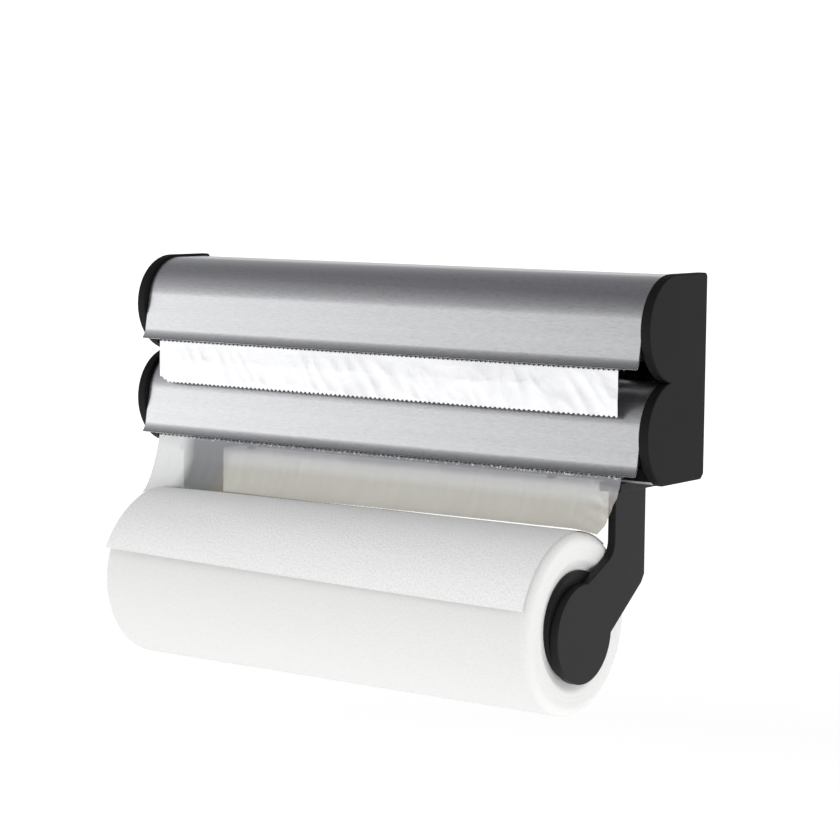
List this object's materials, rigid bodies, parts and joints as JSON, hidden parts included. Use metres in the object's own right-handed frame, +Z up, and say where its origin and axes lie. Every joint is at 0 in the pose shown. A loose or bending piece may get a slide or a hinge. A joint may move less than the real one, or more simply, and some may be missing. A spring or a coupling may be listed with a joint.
{
  "type": "cling film dispenser",
  "caption": "Wall-mounted dispenser with hinged curved steel covers and serrated cutters for foil and cling film, and arms below that carry a kitchen roll.",
  "frame": {"origin": "on the wall face of the back housing, at the middle of its width and height", "axes": "+X to the viewer's right along the rolls, +Y into the wall, +Z up"},
  "size_m": [0.37, 0.1315, 0.2427],
  "materials": {
    "charcoal_plastic": "fine moulded texture",
    "brushed_cover_steel": "brushed lengthways",
    "blade_steel": "stamped, bright",
    "pin_steel": "zinc plated",
    "rail_steel": "rolled sheet",
    "natural_plastic": "satin",
    "tube_cardboard": "spiral wound",
    "aluminium_foil": "bright foil, softly creased",
    "cling_film": "clear and glossy",
    "kitchen_paper": "soft embossed tissue"
  },
  "bodies": {
    "housing": {"back_housing": "charcoal_plastic", "left_end_cap": "charcoal_plastic", "right_end_cap": "charcoal_plastic", "arm_rail": "rail_steel", "rail_screw_1": "pin_steel", "rail_screw_2": "pin_steel", "rail_screw_3": "pin_steel", "rail_screw_4": "pin_steel", "upper_hinge_pin_left": "pin_steel", "upper_hinge_pin_right": "pin_steel", "lower_hinge_pin_left": "pin_steel", "lower_hinge_pin_right": "pin_steel", "left_arm": "charcoal_plastic", "left_hub_screw": "pin_steel", "foil_sheet": "aluminium_foil", "film_sheet": "cling_film"},
    "upper_cover": {"upper_cover_shell": "brushed_cover_steel", "upper_cutter_blade": "blade_steel", "upper_hinge_arm_left": "charcoal_plastic", "upper_hinge_arm_right": "charcoal_plastic"},
    "lower_cover": {"lower_cover_shell": "brushed_cover_steel", "lower_cutter_blade": "blade_steel", "lower_hinge_arm_left": "charcoal_plastic", "lower_hinge_arm_right": "charcoal_plastic"},
    "foil_roll": {"foil_tube": "tube_cardboard", "foil_winding": "aluminium_foil", "foil_plug_left": "natural_plastic", "foil_plug_right": "natural_plastic"},
    "film_roll": {"film_tube": "tube_cardboard", "film_winding": "cling_film", "film_plug_left": "natural_plastic", "film_plug_right": "natural_plastic"},
    "right_arm": {"right_arm": "charcoal_plastic", "right_hub_screw": "pin_steel"},
    "left_hub": {"left_hub": "charcoal_plastic"},
    "right_hub": {"right_hub": "charcoal_plastic"},
    "kitchen_roll": {"paper_tube": "tube_cardboard", "paper_winding": "kitchen_paper", "paper_flap": "kitchen_paper"}
  },
  "joints": [
    {"name": "upper_cover_hinge", "type": "hinge", "parent": "housing", "child": "upper_cover", "pos_m": [0, -0.0105, 0.0513], "axis": [-1, 0, 0], "range_deg": [0, 98]},
    {"name": "lower_cover_hinge", "type": "hinge", "parent": "housing", "child": "lower_cover", "pos_m": [0, -0.032, -0.0072], "axis": [-1, 0, 0], "range_deg": [0, 50], "deforming": ["foil_sheet"]},
    {"name": "foil_roll_spin", "type": "hinge", "parent": "housing", "child": "foil_roll", "pos_m": [0, -0.033, 0.028], "axis": [1, 0, 0], "continuous": true},
    {"name": "film_roll_spin", "type": "hinge", "parent": "housing", "child": "film_roll", "pos_m": [0, -0.033, -0.0305], "axis": [1, 0, 0], "continuous": true},
    {"name": "right_arm_slide", "type": "slide", "parent": "housing", "child": "right_arm", "axis": [1, 0, 0], "range_m": [0, 0.014]},
    {"name": "kitchen_roll_spin", "type": "hinge", "parent": "housing", "child": "kitchen_roll", "pos_m": [0, -0.079, -0.1337], "axis": [1, 0, 0], "continuous": true},
    {"name": "left_hub_spin", "type": "hinge", "parent": "housing", "child": "left_hub", "pos_m": [0, -0.079, -0.1337], "axis": [1, 0, 0], "continuous": true},
    {"name": "right_hub_spin", "type": "hinge", "parent": "right_arm", "child": "right_hub", "pos_m": [0, -0.079, -0.1337], "axis": [1, 0, 0], "continuous": true}
  ],
  "couplings": [
    {"joint": "left_hub_spin", "follows": "kitchen_roll_spin", "ratio": 1},
    {"joint": "right_hub_spin", "follows": "kitchen_roll_spin", "ratio": 1}
  ]
}
